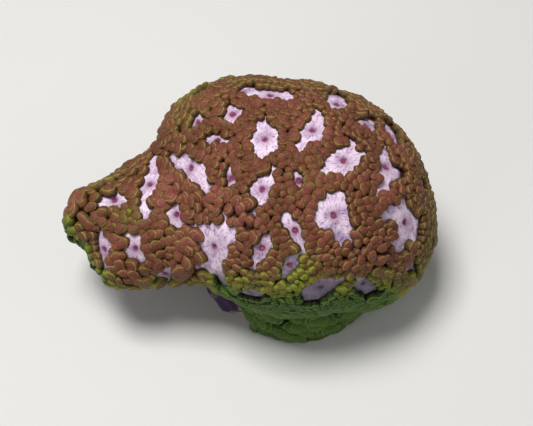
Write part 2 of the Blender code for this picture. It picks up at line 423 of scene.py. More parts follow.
# Swollen patches in the view: across, up, reach, extra size
SWOLLEN = (
    (-8.2, -3.4, 3.5, 0.7),
    (13.2, -9.6, 3.2, 0.5),
    (-17.0, -6.8, 3.0, 0.5),
    (-21.5, 0.8, 3.0, 0.45),
    (-13.0, 0.0, 3.0, 0.5),
    (-9.5, 5.5, 2.5, 0.3),
    (-38.0, -2.0, 2.0, 0.3),
    (-13.5, 7.5, 2.5, 0.3),
    (-2.5, 6.0, 2.0, 0.35),
    (2.0, -0.5, 2.5, 0.3),
    (11.0, 2.0, 2.0, 0.3),
)
# Greener patches, listed the same way
GREENER = (
    (0.5, -10.8, 3.8, 0.36),
    (-18.5, 14.0, 5.0, 0.26),
    (-32.0, -1.0, 7.0, 0.14),
    (-21.0, -7.5, 4.0, 0.12),
    (-28.5, -3.5, 2.5, 0.3),
    (-40.5, -5.0, 2.2, 0.8),
    (-37.8, -9.2, 1.8, 0.6),
    (-33.0, -14.0, 2.2, 0.4),
    (3.0, 3.5, 3.0, 0.2),
)
SIDE_LOBE_GROWTH = 0.3
SIDE_LOBE = (-10.0, -20.0)


def in_view(points):
    """Across and up, in the view's own plane."""
    offsets = points - VIEW_CENTRE
    return offsets @ view_right, offsets @ view_climb


def patchiness(points, patches):
    """How much the listed patches add at each point, fading out over their reach."""
    across, up = in_view(points)
    total = np.zeros(len(points))
    for place_across, place_up, reach, extra in patches:
        away = ((across - place_across) ** 2 + (up - place_up) ** 2) / reach**2
        total += extra * np.exp(-away)
    return total


def foldedness(points):
    """How far the flesh at each point hangs in folds: fully low on the front of the foot."""
    low = smooth(*FOLDS_BELOW, points[:, 2])
    return low * smooth(*FOLD_FRONT, points[:, 1]) * smooth(*FOLD_LEFT, points[:, 0])


def growth_at(points):
    """How much larger than usual the lumps are at each point."""
    growth = 1.0 + SIDE_LOBE_GROWTH * smooth(*SIDE_LOBE, points[:, 0])
    return growth + FOLD_GROWTH * foldedness(points) + patchiness(points, SWOLLEN)


def on_knob(points):
    """Whether each point lies on the dead knob of rock at the front of the foot."""
    centre, radii = SWELLS["knob"]
    return np.linalg.norm((points - np.array(centre)) / np.array(radii), axis=-1) < KNOB_SHARE


def ragged(points):
    """Uneven heights, in mm, that fray the lower edge of the flesh."""
    turn = np.arctan2(points[:, 1], points[:, 0])
    return RAGGED * sum(high * np.sin(count * turn + start) for count, high, start in FRAYS) / 2


def bareness(points):
    """How bare each point is: the underside, the foot but for its front, the knob and the cut's edge."""
    fray = ragged(points)
    facing = form_normal(points)[:, 2] + fray * UNDERSIDE_FRAY
    under = smooth(*UNDERSIDE, facing)
    aside = np.maximum(smooth(*FOOT_BACK, points[:, 1] + fray), smooth(*FOOT_LEFT, points[:, 0]))
    foot = smooth(*FOOT_TOP, points[:, 2] + fray) * aside
    ground = smooth(*GROUND, points[:, 2])
    bare = np.maximum(np.maximum(under * (1 - foldedness(points)), foot), ground)
    return np.where(on_knob(points), 1.0, bare)


def is_bare(points):
    return bareness(points) > 0.5


print("share of the form that is bare:", round(float(is_bare(form_sample).mean()), 2))

# %% [markdown]
# Lumps. Each is the swollen top of one tooth-like plate of the skeleton, so the lumps stand in rows
# round every disc and point at its mouth. Rings of them are planted round each oval first, then the
# rest of the form is filled wherever there is room. Scattering them evenly would be quicker, but
# their rows round the discs are what makes a brain coral.

# %% Plant the lumps, row by row
LUMP_PITCH = 1.13
FIRST_ROW = 0.9
ROW_STEP = 1.25
ROW_SPREAD = 0.12
ROWS = 4
ROW_GAP = 0.8
FILL_GAP = 0.88
FILL_TRIES = 40000
GAP_SPREAD = (0.72, 1.25)
LONELY = 1.8
NEIGHBOURS = 5
RIDGE_RISE = 0.55
RIDGE_REACH = (0.3, 2.6)
CLEARANCE = 0.7
PLANTING_REACH = (1.5, 3.0)
BEHIND = 0.1


def nearest_disc(points):
    """How far outside its nearest oval each point is, and the way to it from the oval's middle line."""
    gaps = np.full(len(points), np.inf)
    ways = np.zeros_like(points)
    for polyp in polyps:
        gap, way = polyp.spine_way(points)
        nearer = gap < gaps
        gaps[nearer] = gap[nearer]
        ways[nearer] = way[nearer]
    return gaps, ways


def ridge_rise(points):
    """The flesh swells into a ridge between the discs. This is how high it is at each point."""
    gaps, _ = nearest_disc(points)
    return RIDGE_RISE * smooth(*RIDGE_REACH, gaps)


def clear_of_discs(points):
    """Whether each point stands outside every oval, with some clearance.

    An oval near the skyline reaches round behind it, so there its distance is what counts."""
    clear = np.ones(len(points), bool)
    behind = form_normal(points) @ view_back < BEHIND
    for polyp in polyps:
        near = polyp.near(points, PLANTING_REACH)
        share = 1.0 + 2 * CLEARANCE / (polyp.length + polyp.width)
        gap, _ = polyp.spine_way(points[near])
        outside = polyp.ovalness(points[near]) > share
        clear[near] &= outside | (behind[near] & (gap > CLEARANCE))
    return clear


class Planting:
    """The lumps planted so far. A new one needs its gap to all of them."""

    def __init__(self, most):
        self.places = np.zeros((most, 3))
        self.ways = np.zeros((most, 3))
        self.count = 0

    def add(self, points, ways, gaps):
        good = clear_of_discs(points) & ~is_bare(points)
        gaps = gaps * chance.uniform(*GAP_SPREAD, len(gaps))
        for point, way, gap in zip(points[good], ways[good], gaps[good]):
            offsets = self.places[: self.count] - point
            if self.count and (offsets * offsets).sum(axis=1).min() < gap * gap:
                continue
            self.places[self.count] = point
            self.ways[self.count] = way
            self.count += 1


def room_round(points):
    """The mean distance from each point to its nearest few neighbours."""
    tree = kdtree.KDTree(len(points))
    for index, point in enumerate(points):
        tree.insert(point, index)
    tree.balance()
    found = [tree.find_n(point, NEIGHBOURS + 1)[1:] for point in points]
    return np.array([[gap for _, _, gap in neighbours] for neighbours in found]).mean(axis=1)


def plant_lumps():
    """The place of every lump on the form, and the way that its length points."""
    planting = Planting(FILL_TRIES)
    for row in range(ROWS):
        for polyp in polyps:
            growth = growth_at(polyp.centre[None, :])[0]
            points, ways = polyp.rim(LUMP_PITCH * growth, (FIRST_ROW + ROW_STEP * row) * growth)
            points = onto_form(points + ways * chance.normal(0.0, ROW_SPREAD, (len(points), 1)))
            planting.add(points, ways, LUMP_PITCH * ROW_GAP * growth_at(points))
    fill = on_form(unit(even_headings(FILL_TRIES) / SQUEEZE))
    fill = fill[chance.permutation(len(fill))]
    planting.add(fill, nearest_disc(fill)[1], LUMP_PITCH * FILL_GAP * growth_at(fill))
    places = planting.places[: planting.count]
    company = room_round(places) < LUMP_PITCH * LONELY * growth_at(places)
    return places[company], planting.ways[: planting.count][company]


lump_places, lump_ways = plant_lumps()
print(len(lump_places), "lumps")

# %% [markdown]
# With the places fixed, each lump gets its frame and its radii. A lump is as wide as the room that
# its nearest neighbours leave. It leans back from its disc, so its tip overlaps the lump in front of
# it as shingles do. Low on the front the lumps turn into long level folds over the foot.

# %% Size and turn of each lump
WIDE_SHARE = 0.6
LONG_SHARE = 0.76
LONGER_ON_LOBE = 0.15
ON_LOBE = (-8.0, -18.0)
TALL = 0.85
TALL_SPREAD = (0.85, 1.12)
SET_IN = 0.4
LEAN = math.radians(20.0)
LEAN_SPREAD = math.radians(11.0)
MOST_ROOM = 1.4
TURN_SPREAD = 0.35
FOLD_LENGTH = 1.4
FOLD_WIDTH = 1.1
FOLD_THICKNESS = 1.3
SHELVING = 0.3
SIZE_SPREAD = 0.24


def lump_turns():
    """For each lump: the ways of its length, its width and its top, and how much of a fold it is."""
    normals = form_normal(lump_places)
    fold = foldedness(lump_places)[:, None]
    level = unit(np.cross(normals, UPWARDS) + 1e-6)
    ways = unit(lump_ways)
    level = level * np.sign((level * ways).sum(axis=1, keepdims=True) + 1e-9)
    ways = unit(ways * (1 - fold) + level * fold)
    ways = ways + chance.normal(0.0, TURN_SPREAD, ways.shape)
    tops = unit(normals * (1 - SHELVING * fold) + UPWARDS * SHELVING * fold)
    long_ways = unit(ways - tops * (ways * tops).sum(axis=1, keepdims=True))
    wide_ways = np.cross(tops, long_ways)
    lean = chance.normal(LEAN, LEAN_SPREAD, (len(ways), 1)) * (1 - fold)
    tipped = long_ways * np.cos(lean) - tops * np.sin(lean)
    tops = tops * np.cos(lean) + long_ways * np.sin(lean)
    return np.stack([tipped, wide_ways, tops], axis=1), normals, fold[:, 0]


def lump_sizes(fold):
    """The half length, half width and height of each lump."""
    room = np.minimum(room_round(lump_places), LUMP_PITCH * MOST_ROOM * growth_at(lump_places))
    room = room * chance.uniform(1 - SIZE_SPREAD, 1 + SIZE_SPREAD, len(room))
    lobe = smooth(*ON_LOBE, lump_places[:, 0])
    longs = room * LONG_SHARE * (1 + LONGER_ON_LOBE * lobe) * (1 + (FOLD_LENGTH - 1) * fold)
    wides = room * WIDE_SHARE * (1 + (FOLD_WIDTH - 1) * fold)
    talls = TALL * np.sqrt(room / LUMP_PITCH) * chance.uniform(*TALL_SPREAD, len(room))
    talls = talls * (1 + (FOLD_THICKNESS - 1) * fold)
    return np.stack([longs, wides, talls], axis=1)


lump_axes, lump_normals, lump_fold = lump_turns()
lump_radii = lump_sizes(lump_fold)
lump_rise = SET_IN + ridge_rise(lump_places)
lump_centres = lump_places + lump_normals * lump_rise[:, None]
lump_tint = chance.uniform(0.0, 1.0, len(lump_places))
print("lump radii, mm, mean:", lump_radii.mean(axis=0).round(2))

# %% [markdown]
# Flesh swells where water fills it, and stays thin at its edge, so a lump is a pillow: flat on top,
# steep at the sides, with a lobed outline. A dozen different pillows are made from a ball. The
# buried half of each is drawn together to one point. Each vertex knows how far over the shoulder
# it lies and how near the tip, because the finish draws the bright edge there.

# %% A dozen pillows to plant
PILLOWS = 12
SEGMENTS = 16
RINGS = 10
SQUARENESS = 2.35
BURIED = -0.4
LOBES = ((1, 0.06), (2, 0.08), (3, 0.08), (4, 0.08), (5, 0.07))
DIMPLE = 0.10
DIMPLE_REACH = 0.5
DIMPLE_SPREAD = (-1.0, 0.6)


def ball():
    """A unit ball with its lower cap drawn together, as vertices and triangles."""
    bm = bmesh.new()
    bmesh.ops.create_uvsphere(bm, u_segments=SEGMENTS, v_segments=RINGS, radius=1.0)
    buried = [vert for vert in bm.verts if vert.co.z < BURIED]
    bmesh.ops.pointmerge(bm, verts=buried, merge_co=(0.0, 0.0, -1.0))
    bmesh.ops.triangulate(bm, faces=list(bm.faces))
    bm.verts.index_update()
    places = np.array([tuple(vert.co) for vert in bm.verts])
    faces = np.array([[vert.index for vert in face.verts] for face in bm.faces])
    bm.free()
    return places, faces


ball_places, ball_faces = ball()
polar = np.arccos(np.clip(ball_places[:, 2], -1.0, 1.0))
around = np.arctan2(ball_places[:, 1], ball_places[:, 0])
shoulder = polar / (math.pi / 2)
tipward = -np.cos(around) * np.sin(polar)


def pillow():
    """The ball squared up and given an outline of its own."""
    flat = np.sin(polar) ** (2 / SQUARENESS)
    height = np.sign(np.cos(polar)) * np.abs(np.cos(polar)) ** (2 / SQUARENESS)
    outline = np.ones(len(around))
    for count, high in LOBES:
        outline += chance.uniform(-high, high) * np.cos(count * around + chance.uniform(0, ANY_TURN))
    dent = DIMPLE * np.exp(-((flat / DIMPLE_REACH) ** 2)) * chance.uniform(*DIMPLE_SPREAD)
    ways = np.stack([np.cos(around), np.sin(around)], axis=1) * (flat * outline)[:, None]
    return np.concatenate([ways, (height + dent)[:, None]], axis=1)


pillows = np.array([pillow() for _ in range(PILLOWS)])
print(len(ball_faces), "triangles in a pillow,", len(ball_faces) * len(lump_places), "in all")

# %% [markdown]
# The body under the lumps. An icosphere is a ball with even triangles, and each of its vertices is
# carried out to the form. Between the discs the surface swells into ridges, each disc is a low
# plateau with a small ringed pit for a mouth, and the bare skeleton is rough.

# %% The body with its sunken discs
BODY_LEVELS = 7
DISC_RISE = 0.45
DISC_SLOPE = (1.6, 1.0)
MOUTH_RADIUS = 0.42
MOUTH_SINK = -0.45
LIP_RISE = 0.16
LIP_PLACE = 1.5
LIP_WIDTH = 0.5
RELIEF_REACH = (2.0, 2.0)
RUBBLE = ((0.9, 0.6), (0.42, 0.3), (0.2, 0.12))
RUBBLE_ABOVE = (0.0, 1.5)


def disc_relief(points):
    """How far the bare surface dips or rises at each point because of the discs."""
    relief = np.zeros(len(points))
    plateau = np.zeros(len(points))
    for polyp in polyps:
        near = polyp.near(points, RELIEF_REACH)
        oval = polyp.ovalness(points[near])
        plateau[near] = np.maximum(plateau[near], DISC_RISE * smooth(*DISC_SLOPE, oval))
        if polyp.mouth is polyp:
            ring = np.linalg.norm(points[near] - polyp.centre, axis=1) / MOUTH_RADIUS
            lip = LIP_RISE * np.exp(-((ring - LIP_PLACE) / LIP_WIDTH) ** 2)
            relief[near] += MOUTH_SINK * np.exp(-ring**2) + lip
    return relief + plateau


def rubble(points):
    """Knobs and pits of the dead skeleton, where the flesh ends."""
    total = np.zeros(len(points))
    for size, high in RUBBLE:
        x, y, z = (points / size).T
        total += high * np.sin(x + 0.7 * y) * np.sin(y - 0.6 * z + 1.0) * np.sin(z + 0.8 * x + 2.0)
    return total * bareness(points) * smooth(*RUBBLE_ABOVE, points[:, 2])


def body_bmesh():
    """The whole body as a closed ball of triangles, before it is thinned and sawn."""
    bm = bmesh.new()
    bmesh.ops.create_icosphere(bm, subdivisions=BODY_LEVELS, radius=1.0)
    ways = unit(np.array([tuple(vert.co) for vert in bm.verts]) / SQUEEZE)
    places = on_form(ways)
    relief = disc_relief(places) + ridge_rise(places) + rubble(places)
    places = places + form_normal(places) * relief[:, None]
    for vert, place in zip(bm.verts, places):
        vert.co = place
    return bm


pits = disc_relief(np.array([polyp.centre for polyp in mouths]))
print("mouths above the bare form, mm, mean:", round(float(pits.mean()), 2))

# %% [markdown]
# A collapse thins the triangles out and keeps those where the surface curves. Then the foot is sawn
# off flat at the ground, because the coral was cut from its rock.

# %% Thin the body and saw it off
BODY_TRIANGLES = 150000
SAW_GAP = 1e-4


def thinned(piece, triangles):
    """The piece with fewer triangles, kept where it curves."""
    thin = piece.modifiers.new("thin", "DECIMATE")
    thin.ratio = min(1.0, triangles / len(piece.data.polygons))
    ready = piece.evaluated_get(bpy.context.evaluated_depsgraph_get())
    piece.data = bpy.data.meshes.new_from_object(ready)
    piece.modifiers.clear()


def saw_flat(piece):
    """Cuts the piece off at the ground and closes the cut."""
    bm = bmesh.new()
    bm.from_mesh(piece.data)
    parts = list(bm.verts) + list(bm.edges) + list(bm.faces)
    sawn = bmesh.ops.bisect_plane(
        bm, geom=parts, dist=SAW_GAP, plane_co=(0, 0, 0), plane_no=(0, 0, 1), clear_inner=True
    )
    rim = [edge for edge in sawn["geom_cut"] if isinstance(edge, bmesh.types.BMEdge)]
    bmesh.ops.contextual_create(bm, geom=rim)
    bmesh.ops.triangulate(bm, faces=list(bm.faces))
    bmesh.ops.recalc_face_normals(bm, faces=list(bm.faces))
    open_edges = sum(not edge.is_manifold for edge in bm.edges)
    print(piece.name, "triangles:", len(bm.faces), "open edges:", open_edges)
    bm.to_mesh(piece.data)
    bm.free()


def make_body():
    bm = body_bmesh()
    mesh = bpy.data.meshes.new("coral_body")
    bm.to_mesh(mesh)
    bm.free()
    piece = add_object("coral_body", mesh)
    thinned(piece, BODY_TRIANGLES)
    saw_flat(piece)
    return piece


body = make_body()

# %% [markdown]
# Planting. The lumps are joined into a few pieces by where they stand, so that no mesh is heavy.
# Those at the ground are pressed flat on it, as the cut left them.

# %% Plant the lumps on the body
FAR = 99.0
# The reach of each bed along X and along Y
BEDS = {
    "front_left_lumps": ((-12.0, 2.0), (-FAR, -2.0)),
    "front_right_lumps": ((2.0, FAR), (-FAR, -2.0)),
    "back_left_lumps": ((-12.0, 2.0), (-2.0, FAR)),
    "back_right_lumps": ((2.0, FAR), (-2.0, FAR)),
    "side_lobe_lumps": ((-FAR, -12.0), (-FAR, FAR)),
}


def standing_in(reach_x, reach_y):
    """The lumps whose places lie within both reaches."""
    x, y, _ = lump_places.T
    inside = (x >= reach_x[0]) & (x < reach_x[1]) & (y >= reach_y[0]) & (y < reach_y[1])
    return np.flatnonzero(inside)


def plant(name, picked):
    """One piece that joins a pillow for every picked lump. Also gives each vertex's lump."""
    kinds = chance.integers(0, PILLOWS, len(picked))
    shapes = pillows[kinds] * lump_radii[picked][:, None, :]
    places = np.einsum("lni,lij->lnj", shapes, lump_axes[picked]) + lump_centres[picked][:, None, :]
    places[:, :, 2] = np.maximum(places[:, :, 2], 0.0)
    starts = np.arange(len(picked)) * len(ball_places)
    corners = ball_faces[None, :, :] + starts[:, None, None]
    mesh = bpy.data.meshes.new(name)
    mesh.from_pydata(places.reshape(-1, 3).tolist(), [], corners.reshape(-1, 3).tolist())
    return add_object(name, mesh), np.repeat(picked, len(ball_places))


beds = {}
for name, reaches in BEDS.items():
    picked = standing_in(*reaches)
    beds[name] = plant(name, picked)
    print(name, len(picked), "lumps,", len(beds[name][0].data.polygons), "triangles")

# %% [markdown]
# The finish needs to know where on a disc or a lump it is, and how green or bare the flesh is
# there. These are stored as named attributes, which a material can read. They vary smoothly within
# a lump, so the material can draw lines that are finer than the mesh.

# %% What the finish reads
NO_DISC = 9.0
FIELD_REACH = (2.0, 2.5)
# What makes the flesh green: a low and a high value of some measure, and how much green it adds
GREEN_UNDER = (0.5, -0.4, 0.45)
GREEN_BROW = (-9.5, -15.0, 0.42)
GREEN_LOW_BROW = (-14.5, -18.5, 0.4)
GREEN_FOOT = (9.0, 3.0, 0.3)
# Painted glow: greener where the flesh turns to the back and to the right
GLOW_GREEN_BACK = (0.1, 0.75, 0.22)
GLOW_GREEN_RIGHT = (0.6, 0.95, 0.2)
GREEN_TIP = 0.8
TIP_END = (-34.0, -37.0)
TIP_BELOW = (21.0, 16.0)
BROW_FRONT = (-4.0, -9.0)
BROW_RIGHT = (24.0, 14.0)
BROW_LEFT = (-17.0, -12.0)
IN_SIGHT = (-0.1, 0.2)
SWOLLEN_FROM = 1.25
SWOLLEN_MOST = 0.5


def disc_fields(points):
    """For each point: its place in its disc's plane, from the mouth, and its share of the oval."""
    oval = np.full(len(points), NO_DISC)
    along = np.zeros(len(points))
    aside = np.zeros(len(points))
    for polyp in polyps:
        near = polyp.near(points, FIELD_REACH)
        share = np.full(len(points), NO_DISC)
        share[near] = polyp.ovalness(points[near])
        mine = share < oval
        offsets = points[mine] - polyp.mouth.centre
        long_way = unit(polyp.mouth.long_axis)
        along[mine] = offsets @ long_way
        aside[mine] = offsets @ np.cross(polyp.mouth.normal, long_way)
        oval[mine] = share[mine]
    return np.stack([along, aside, oval], axis=-1)


def added(values, low, high, share):
    return smooth(low, high, values) * share


def greenness(points):
    """How green the flesh is, from 0 to 1: in patches, on the front brow, low down, and as a painted
    glow round behind and to the right.
    """
    normals = form_normal(points)
    across, up = in_view(points)
    green = patchiness(points, GREENER) * smooth(*IN_SIGHT, normals @ view_back)
    green = green + added(normals[:, 2], *GREEN_UNDER)
    brow = added(up, *GREEN_BROW) + added(up, *GREEN_LOW_BROW)
    beside = smooth(*BROW_RIGHT, across) * smooth(*BROW_LEFT, across)
    green = green + brow * smooth(*BROW_FRONT, points[:, 1]) * beside
    green = green + added(points[:, 2], *GREEN_FOOT)
    green = green + GREEN_TIP * smooth(*TIP_END, points[:, 0]) * smooth(*TIP_BELOW, points[:, 2])
    # Painted glow: the flesh greens where it turns to the back and to the right
    green = green + added(normals[:, 1], *GLOW_GREEN_BACK) + added(normals[:, 0], *GLOW_GREEN_RIGHT)
    return np.clip(green, 0.0, 1.0)


def zone_fields(points):
    """For each point: how green, how bare and how swollen the flesh is there."""
    swollen = np.clip(growth_at(points) - SWOLLEN_FROM, 0.0, SWOLLEN_MOST) / SWOLLEN_MOST
    return np.stack([greenness(points), bareness(points), swollen], axis=-1)


print("mean greenness of the form:", round(float(greenness(form_sample).mean()), 2))


# %% Store it on the meshes
def store(mesh, name, values):
    attribute = mesh.attributes.new(name, "FLOAT_VECTOR", "POINT")
    attribute.data.foreach_set("vector", np.asarray(values, np.float32).ravel())


def vertex_places(mesh):
    places = np.zeros(len(mesh.vertices) * 3, np.float32)
    mesh.vertices.foreach_get("co", places)
    return places.reshape(-1, 3).astype(float)


def store_lumps(mesh, own):
    """For each vertex: how far over the shoulder, how near the tip, and its lump's tint."""
    count = len(own) // len(ball_places)
    over = np.stack([np.tile(shoulder, count), np.tile(tipward, count), lump_tint[own]], axis=-1)
    store(mesh, "lump", over)


body_points = vertex_places(body.data)
store(body.data, "disc", disc_fields(body_points))
store(body.data, "zone", zone_fields(body_points))
for piece, own in beds.values():
    store_lumps(piece.data, own)
    store(piece.data, "zone", zone_fields(vertex_places(piece.data)))
print("attributes of the body:", [attribute.name for attribute in body.data.attributes])

# %% [markdown]
# The head was shaped round the axis of its crown, but the frame counts from the middle of the
# packed head. So each mesh is moved there and scaled to metres, and its object stays at the origin.

# %% Move every piece to its place and to metres
living = [body] + [piece for piece, _ in beds.values()]
for piece in living:
    piece.data.transform(Matrix.Scale(MM, 4) @ Matrix.Translation(Vector(CROWN_AXIS)))
    piece.data.shade_smooth()
    print(piece.name, "mm:", [round(length / MM, 1) for length in piece.dimensions])

# %% [markdown]
# Shader maths reads best as sums. A small class wraps a socket, and arithmetic on it adds the Math
# nodes. Everything else comes from one method that makes a node, sets it up and feeds its sockets.

# %% A wrapper for sockets and a maker of nodes
class Number:
    """A value that varies over the surface. Arithmetic on it adds Math nodes."""

    def __init__(self, finish, socket):
        self.finish = finish
        self.socket = socket

    def math(self, operation, *values):
        made = self.finish.node("ShaderNodeMath", {"operation": operation}, dict(enumerate(values)))
        return Number(self.finish, made.outputs[0])

    def __add__(self, other):
        return self.math("ADD", self, other)

    __radd__ = __add__

    def __sub__(self, other):
        return self.math("SUBTRACT", self, other)

    def __rsub__(self, other):
        return self.math("SUBTRACT", other, self)

    def __mul__(self, other):
        return self.math("MULTIPLY", self, other)

    __rmul__ = __mul__

    def __pow__(self, other):
        return self.math("POWER", self, other)

    def rise(self, low, high):
        """0 at low and 1 at high, with soft ends."""
        settings = {"interpolation_type": "SMOOTHSTEP"}
        made = self.finish.node("ShaderNodeMapRange", settings, {0: self, 1: low, 2: high})
        return Number(self.finish, made.outputs[0])

    def band(self, middle, reach):
        """1 on the line where the value is middle, and 0 a reach away from it."""
        away = self.math("ABSOLUTE", self - middle)
        return 1 - away.rise(0.0, reach)


class Finish:
    """A material, built node by node."""

    def __init__(self, name):
        self.material = bpy.data.materials.new(name)
        self.material.use_nodes = True
        self.tree = self.material.node_tree
        self.shader = self.tree.nodes["Principled BSDF"]

    def feed(self, socket, value):
        if isinstance(value, Number):
            self.tree.links.new(value.socket, socket)
        elif isinstance(value, bpy.types.NodeSocket):
            self.tree.links.new(value, socket)
        else:
            socket.default_value = value

    def node(self, kind, settings, inputs):
        """Makes a node, sets it up, and feeds its sockets by name or number."""
        made = self.tree.nodes.new(kind)
        for name, value in settings.items():
            setattr(made, name, value)
        for name, value in inputs.items():
            self.feed(made.inputs[name], value)
        return made

    def attribute(self, name):
        return self.node("ShaderNodeAttribute", {"attribute_name": name}, {})

    def parts(self, name):
        """The three numbers that an attribute stores."""
        split = self.node("ShaderNodeSeparateXYZ", {}, {0: self.attribute(name).outputs["Vector"]})
        return [Number(self, output) for output in split.outputs]

    def object_place(self):
        return self.node("ShaderNodeTexCoord", {}, {}).outputs["Object"]

    def noise(self, place, scale, detail=2.0, roughness=0.5):
        inputs = {"Vector": place, "Scale": scale, "Detail": detail, "Roughness": roughness}
        return Number(self, self.node("ShaderNodeTexNoise", {}, inputs).outputs["Fac"])

    def blend(self, share, under, over):
        """The colour under, turning to the colour over as share goes from 0 to 1."""
        inputs = {0: share, 6: under, 7: over}
        return self.node("ShaderNodeMix", {"data_type": "RGBA"}, inputs).outputs[2]

    def bump(self, height, distance, strength):
        inputs = {"Height": height, "Distance": distance, "Strength": strength}
        return self.node("ShaderNodeBump", {}, inputs).outputs["Normal"]


def rgb(red, green, blue):
    """A colour as a painter would give it, from 0 to 255, turned into the light that it reflects."""
    shares = np.array([red, green, blue]) / 255
    light = np.where(shares <= 0.04045, shares / 12.92, ((shares + 0.055) / 1.055) ** 2.4)
    return (*light.tolist(), 1.0)


print("a grey of 128 reflects:", round(rgb(128, 128, 128)[0], 3))

# %% [markdown]
# The flesh is brown and rosy, greener on the sides and vivid green underneath, where the green is
# darkened as painted shade. Noise over the whole object mixes the colours, so they run on from lump to
# lump. Its skin is soft and wet.

# %% The colour and the shine of flesh
BROWN = rgb(98, 51, 33)
ROSY = rgb(124, 61, 50)
PINK = rgb(126, 60, 58)
OLIVE = rgb(98, 87, 36)
LIME = rgb(116, 122, 22)
# Leaf green, darkened as painted shade
LEAF_GREEN_AND_SHADE = rgb(38, 84, 4)
# Noise scales, in features to the metre
PATCHES = 220.0
SPECKLES = 900.0
# Where each change of colour starts and where it is complete
TO_ROSY = (0.0, 1.2)
ROSY_PATCHES = (0.4, 0.66)
WHEN_SWOLLEN = (0.1, 0.8)
TO_LIME = (0.45, 0.8)
TO_LEAF_AND_SHADE = (0.75, 1.1)
TO_GREEN = (0.05, 0.95)
# How much each thing counts towards the change
ROSY_SHARES = (0.6, 0.45, 0.4)
PINK_SHARE = 0.7
LIME_BY_LUMP = 0.3
GREEN_BY_SPECKLE = 0.35
GREEN_BY_PATCH = 0.5
GREEN_SHARE = 1.1
BUMP_SHARE = 0.8
WET = {
    "Subsurface Weight": 0.1,
    "Subsurface Radius": (1.0, 0.45, 0.3),
    "Subsurface Scale": 0.0006,
    "Specular IOR Level": 0.25,
    "Coat Weight": 0.03,
    "Coat Roughness": 0.3,
}


def flesh_base(f, place, tint, green, swollen):
    """Brown to rosy flesh, pink where it is swollen, and olive, lime or leaf green where it is green;
    the leaf green is darkened as painted shade.
    """
    patches = f.noise(place, PATCHES, 3.0)
    by_patch, by_lump, by_swelling = ROSY_SHARES
    rosy = patches.rise(*ROSY_PATCHES) * by_patch + tint * by_lump + swollen * by_swelling
    colour = f.blend(rosy.rise(*TO_ROSY), BROWN, ROSY)
    colour = f.blend(swollen.rise(*WHEN_SWOLLEN) * PINK_SHARE, colour, PINK)
    sides = f.blend((green + (tint - 0.5) * LIME_BY_LUMP).rise(*TO_LIME), OLIVE, LIME)
    # The greenest flesh turns to leaf green, darkened as painted shade
    sides = f.blend(green.rise(*TO_LEAF_AND_SHADE), sides, LEAF_GREEN_AND_SHADE)
    uneven = (f.noise(place, SPECKLES) - 0.5) * GREEN_BY_SPECKLE + (patches - 0.5) * GREEN_BY_PATCH
    return f.blend((green * GREEN_SHARE + uneven).rise(*TO_GREEN), colour, sides)


def wet(f, colour, roughness, height, depth):
    """Feeds the shader of a soft wet surface."""
    f.feed(f.shader.inputs["Base Color"], colour)
    f.feed(f.shader.inputs["Roughness"], roughness)
    f.feed(f.shader.inputs["Normal"], f.bump(height, depth, BUMP_SHARE))
    for name, value in WET.items():
        f.shader.inputs[name].default_value = value


print("brown flesh reflects:", [round(share, 3) for share in BROWN[:3]])

# %% [markdown]
# A thin yellow-green line runs along each lump's edge, strongest at its tip, where the flesh is thin
# and pale; its brightness is a painted glow. It could be painted, but a band of a stored number stays
# sharp from near. Below it the flank sinks into a crease, darkened with painted shade, deep green on
# green flesh.

# %% The finish of the lumps
# Painted shade: deep green on the lower flanks of green lumps
DEEP_GREEN_SHADE = rgb(14, 28, 4)
# Pale edge tint with a painted glow, also the light speckles of the grain
RIM_TINT_AND_GLOW = rgb(174, 168, 80)
# Painted crease shade, also the dark speckles of the grain
CREASE_SHADE_AND_DARK_GRAIN = rgb(40, 20, 13)
GAPS = 260.0
WANDER = 800.0
GRAIN = 3400.0
EDGE = (0.15, 0.75)
EDGE_GREEN = 0.3
DEEP_SHADE_FLANK = (0.55, 1.0)
DEEP_SHADE_ON_GREEN = (0.3, 0.8)
DEEP_SHADE_SHARE = 0.7
CREASE_SHADE_EDGE = (0.78, 1.12)
CREASE_SHADE_SHARE = 0.6
# The bright line: its half width, its place at the sides, and how much farther out it is at the tip
LINE_REACH = 0.05
SIDE_LINE = 0.47
TIP_LINE = 0.2
TIP_BEND = (-0.2, 0.6)
LINE_SHARE = 0.72
LINE_AT_BACK = 0.7
TO_TIP = (-0.5, 0.4)
LINE_GAPS = (0.2, 0.38)
LINE_WANDER = 0.16
INNER_LINE = 0.3
INNER_SHARE = 0.4
INNER_WANDER = 2
WITH_INNER_LINE = (0.0, 0.5)
LIGHT_GRAIN = (0.52, 0.72)
LIGHT_SHARE = 0.14
DARK_GRAIN = (0.54, 0.74)
DARK_SHARE = 0.35
FLESH_ROUGHNESS = 0.5
GRAIN_ROUGHER = 0.16
FLESH_DEPTH = 0.00016


def rim_line_and_glow(f, place, over, tip, swollen):
    """How strongly the bright line, pale edge flesh with a painted glow, shows. A swollen lump has a
    fainter one inside it.
    """
    waver = (f.noise(place, WANDER) - 0.5) * LINE_WANDER
    strength = f.noise(place, GAPS).rise(*LINE_GAPS)
    strength = strength * (LINE_AT_BACK + (1 - LINE_AT_BACK) * tip.rise(*TO_TIP))
    line = (over + waver).band(tip.rise(*TIP_BEND) * TIP_LINE + SIDE_LINE, LINE_REACH) * strength
    inner = (over + waver * INNER_WANDER).band(INNER_LINE, LINE_REACH)
    inner = inner * swollen.rise(*WITH_INNER_LINE) * INNER_SHARE
    return line.math("MAXIMUM", line, inner) * LINE_SHARE


